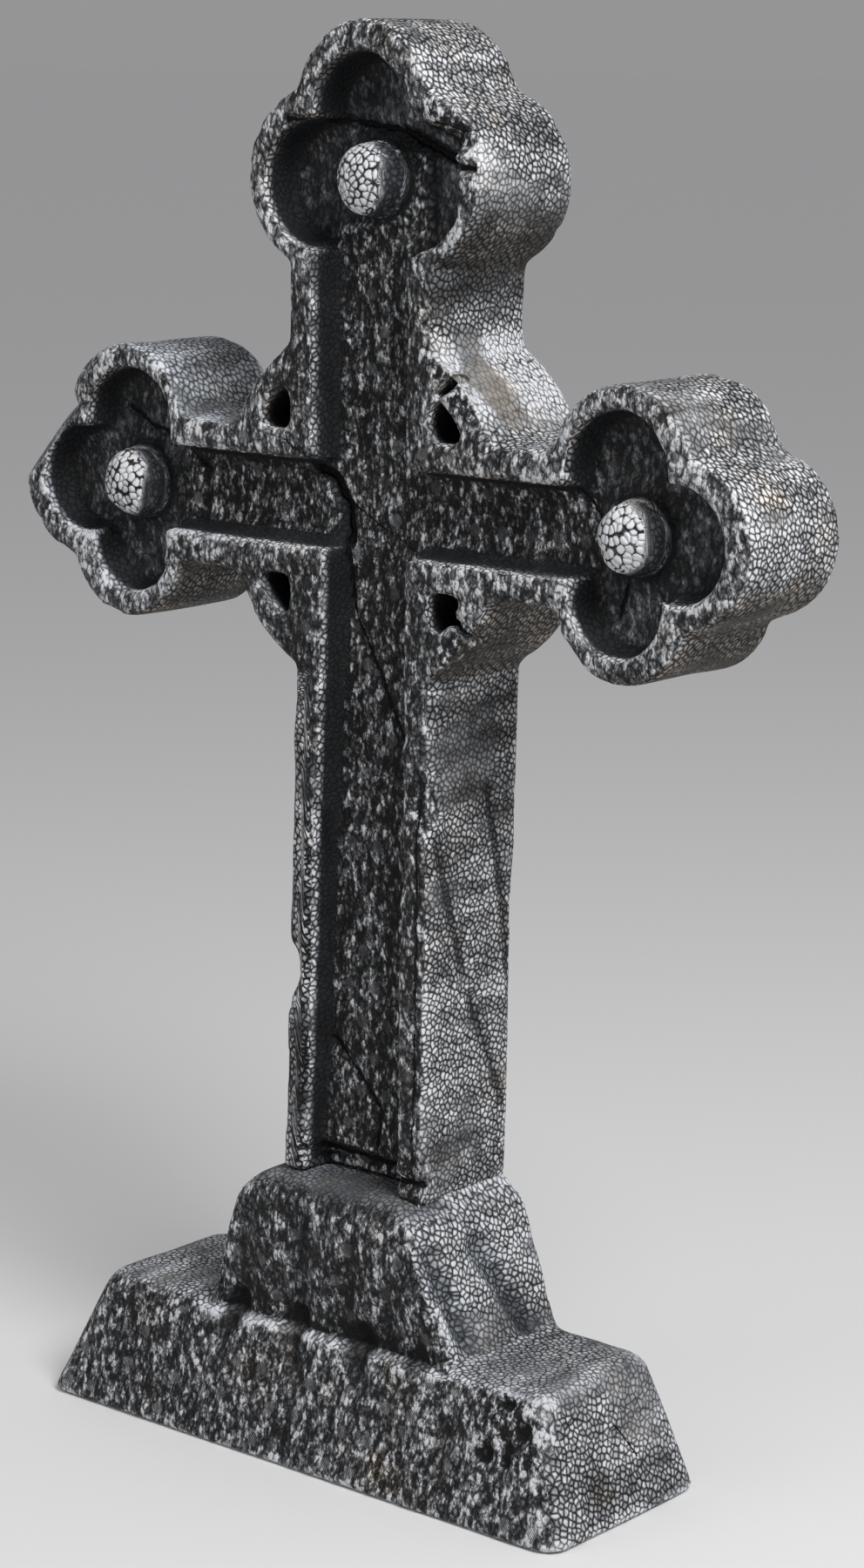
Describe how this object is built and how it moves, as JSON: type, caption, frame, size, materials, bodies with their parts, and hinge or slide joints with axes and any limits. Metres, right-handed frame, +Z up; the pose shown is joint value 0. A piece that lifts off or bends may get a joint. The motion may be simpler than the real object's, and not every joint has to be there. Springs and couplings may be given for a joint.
{
  "type": "celtic cross gravestone",
  "caption": "Weathered foam gravestone prop: a ringed Celtic cross with trefoil ends, domed bosses and a sunk field, on a stepped plinth.",
  "frame": {"origin": "on the floor, under the middle of the object's box", "axes": "+Z up, the carved front looks along -Y, +X to the right as seen from the front"},
  "size_m": [0.6018, 0.1572, 0.933],
  "materials": {
    "cross_foam": "bead foam painted dark grey, with pale grey dry brushing on the bead tops",
    "plinth_foam": "bead foam painted dark grey, with pale grey dry brushing and brown drip stains"
  },
  "bodies": {
    "root": {"cross": "cross_foam", "plinth": "plinth_foam"}
  },
  "joints": []
}
